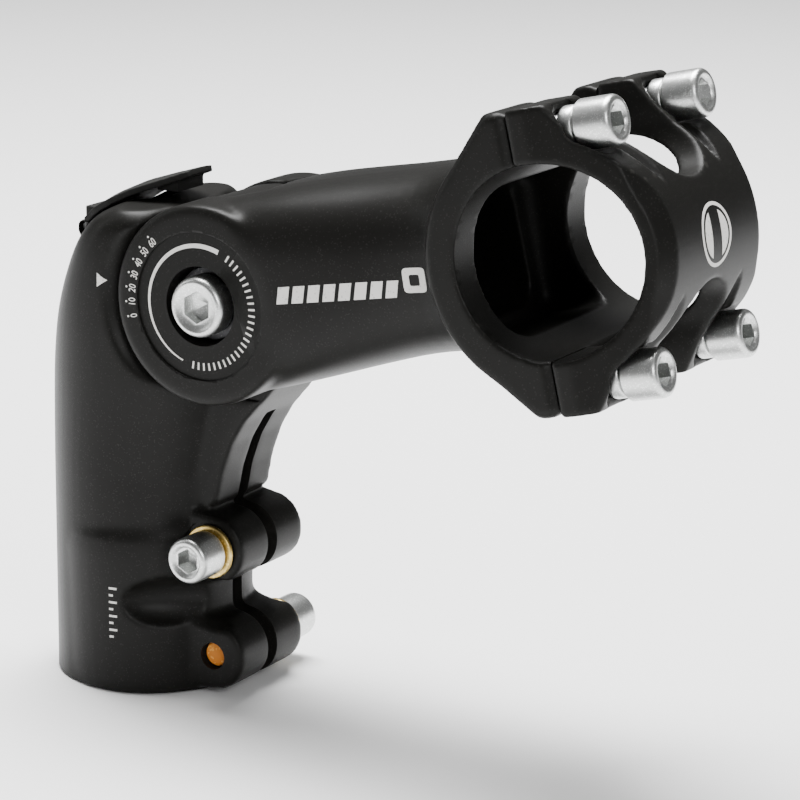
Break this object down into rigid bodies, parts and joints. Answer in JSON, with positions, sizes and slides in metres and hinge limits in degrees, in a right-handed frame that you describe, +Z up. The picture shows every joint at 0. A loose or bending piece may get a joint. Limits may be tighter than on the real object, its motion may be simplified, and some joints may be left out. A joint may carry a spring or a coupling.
{
  "type": "handlebar stem",
  "caption": "Angle-adjustable bicycle handlebar stem: slotted steerer clamp, pivoting forged arm with a split handlebar clamp, socket bolts and a hinged top cover.",
  "frame": {"origin": "on the steerer axis at the underside of the steerer clamp", "axes": "+Z up the steerer axis, +X forward towards the handlebar, +Y the rider's left, so the side with the pivot bolt's head is -Y; the object is mirror symmetric about Y = 0 except for its bolts"},
  "size_m": [0.1296, 0.046, 0.1174],
  "materials": {
    "clamp_black": "satin black coated forging",
    "arm_black": "satin black coated forging",
    "faceplate_black": "satin black coated forging",
    "faceplate_bolt_zinc": "bright zinc plated steel",
    "collar_zinc": "bright zinc plated steel",
    "clamp_bolt_zinc": "bright zinc plated steel",
    "yellow_zinc": "yellow passivated zinc plated steel",
    "pivot_bolt_zinc": "bright zinc plated steel",
    "pivot_washer_zinc": "bright zinc plated steel",
    "nut_zinc": "bright zinc plated steel",
    "bush_bronze": "plain bearing bronze",
    "ring_steel": "hardened toothed steel",
    "pin_steel": "plain steel pin",
    "cover_plastic": "matte textured black plastic"
  },
  "bodies": {
    "steerer_clamp": {"steerer_clamp": "clamp_black", "pivot_bush": "bush_bronze", "detent_ring_near": "ring_steel", "detent_ring_far": "ring_steel", "cover_pin": "pin_steel"},
    "extension_arm": {"extension_arm": "arm_black", "pivot_nut": "nut_zinc"},
    "faceplate": {"faceplate": "faceplate_black"},
    "pivot_washer": {"pivot_washer": "pivot_washer_zinc"},
    "pivot_bolt": {"pivot_bolt": "pivot_bolt_zinc"},
    "upper_clamp_washer": {"upper_clamp_washer": "yellow_zinc"},
    "upper_clamp_bolt": {"upper_clamp_bolt": "clamp_bolt_zinc"},
    "lower_clamp_washer": {"lower_clamp_washer": "yellow_zinc"},
    "lower_clamp_bolt": {"lower_clamp_bolt": "clamp_bolt_zinc"},
    "top_cover": {"top_cover": "cover_plastic"},
    "faceplate_washer_upper_near": {"faceplate_washer_upper_near": "collar_zinc"},
    "faceplate_bolt_upper_near": {"faceplate_bolt_upper_near": "faceplate_bolt_zinc"},
    "faceplate_washer_lower_near": {"faceplate_washer_lower_near": "collar_zinc"},
    "faceplate_bolt_lower_near": {"faceplate_bolt_lower_near": "faceplate_bolt_zinc"},
    "faceplate_washer_upper_far": {"faceplate_washer_upper_far": "collar_zinc"},
    "faceplate_bolt_upper_far": {"faceplate_bolt_upper_far": "faceplate_bolt_zinc"},
    "faceplate_washer_lower_far": {"faceplate_washer_lower_far": "collar_zinc"},
    "faceplate_bolt_lower_far": {"faceplate_bolt_lower_far": "faceplate_bolt_zinc"}
  },
  "joints": [
    {"name": "arm_tilt", "type": "hinge", "parent": "steerer_clamp", "child": "extension_arm", "pos_m": [0.023, 0, 0.0738], "axis": [0, -1, 0], "range_deg": [-19, 41]},
    {"name": "cover_lift", "type": "hinge", "parent": "steerer_clamp", "child": "top_cover", "pos_m": [-0.0084, 0, 0.0824], "axis": [0, -1, 0], "range_deg": [0, 100]},
    {"name": "faceplate_pull", "type": "slide", "parent": "extension_arm", "child": "faceplate", "axis": [0.9724, 0, 0.2334], "range_m": [0, 0.012]},
    {"name": "pivot_washer_pull", "type": "slide", "parent": "extension_arm", "child": "pivot_washer", "axis": [0, -1, 0], "range_m": [0, 0.01]},
    {"name": "pivot_bolt_turn", "type": "hinge", "parent": "pivot_washer", "child": "pivot_bolt", "pos_m": [0.023, -0.0158, 0.0738], "axis": [0, -1, 0], "continuous": true},
    {"name": "faceplate_washer_upper_near_pull", "type": "slide", "parent": "faceplate", "child": "faceplate_washer_upper_near", "axis": [0.9724, 0, 0.2334], "range_m": [0, 0.01]},
    {"name": "faceplate_bolt_upper_near_turn", "type": "hinge", "parent": "faceplate_washer_upper_near", "child": "faceplate_bolt_upper_near", "pos_m": [0.09476, -0.0158, 0.11201], "axis": [0.9724, 0, 0.2334], "continuous": true},
    {"name": "faceplate_washer_lower_near_pull", "type": "slide", "parent": "faceplate", "child": "faceplate_washer_lower_near", "axis": [0.9724, 0, 0.2334], "range_m": [0, 0.01]},
    {"name": "faceplate_bolt_lower_near_turn", "type": "hinge", "parent": "faceplate_washer_lower_near", "child": "faceplate_bolt_lower_near", "pos_m": [0.10429, -0.0158, 0.07234], "axis": [0.9724, 0, 0.2334], "continuous": true},
    {"name": "faceplate_washer_upper_far_pull", "type": "slide", "parent": "faceplate", "child": "faceplate_washer_upper_far", "axis": [0.9724, 0, 0.2334], "range_m": [0, 0.01]},
    {"name": "faceplate_bolt_upper_far_turn", "type": "hinge", "parent": "faceplate_washer_upper_far", "child": "faceplate_bolt_upper_far", "pos_m": [0.09476, 0.0158, 0.11201], "axis": [0.9724, 0, 0.2334], "continuous": true},
    {"name": "faceplate_washer_lower_far_pull", "type": "slide", "parent": "faceplate", "child": "faceplate_washer_lower_far", "axis": [0.9724, 0, 0.2334], "range_m": [0, 0.01]},
    {"name": "faceplate_bolt_lower_far_turn", "type": "hinge", "parent": "faceplate_washer_lower_far", "child": "faceplate_bolt_lower_far", "pos_m": [0.10429, 0.0158, 0.07234], "axis": [0.9724, 0, 0.2334], "continuous": true},
    {"name": "upper_clamp_washer_pull", "type": "slide", "parent": "steerer_clamp", "child": "upper_clamp_washer", "axis": [0, -1, 0], "range_m": [0, 0.012]},
    {"name": "upper_clamp_bolt_turn", "type": "hinge", "parent": "upper_clamp_washer", "child": "upper_clamp_bolt", "pos_m": [0.0196, -0.0119, 0.0272], "axis": [0, -1, 0], "continuous": true},
    {"name": "lower_clamp_washer_pull", "type": "slide", "parent": "steerer_clamp", "child": "lower_clamp_washer", "axis": [0, 1, 0], "range_m": [0, 0.012]},
    {"name": "lower_clamp_bolt_turn", "type": "hinge", "parent": "lower_clamp_washer", "child": "lower_clamp_bolt", "pos_m": [0.0196, 0.0119, 0.0073], "axis": [0, 1, 0], "continuous": true}
  ]
}
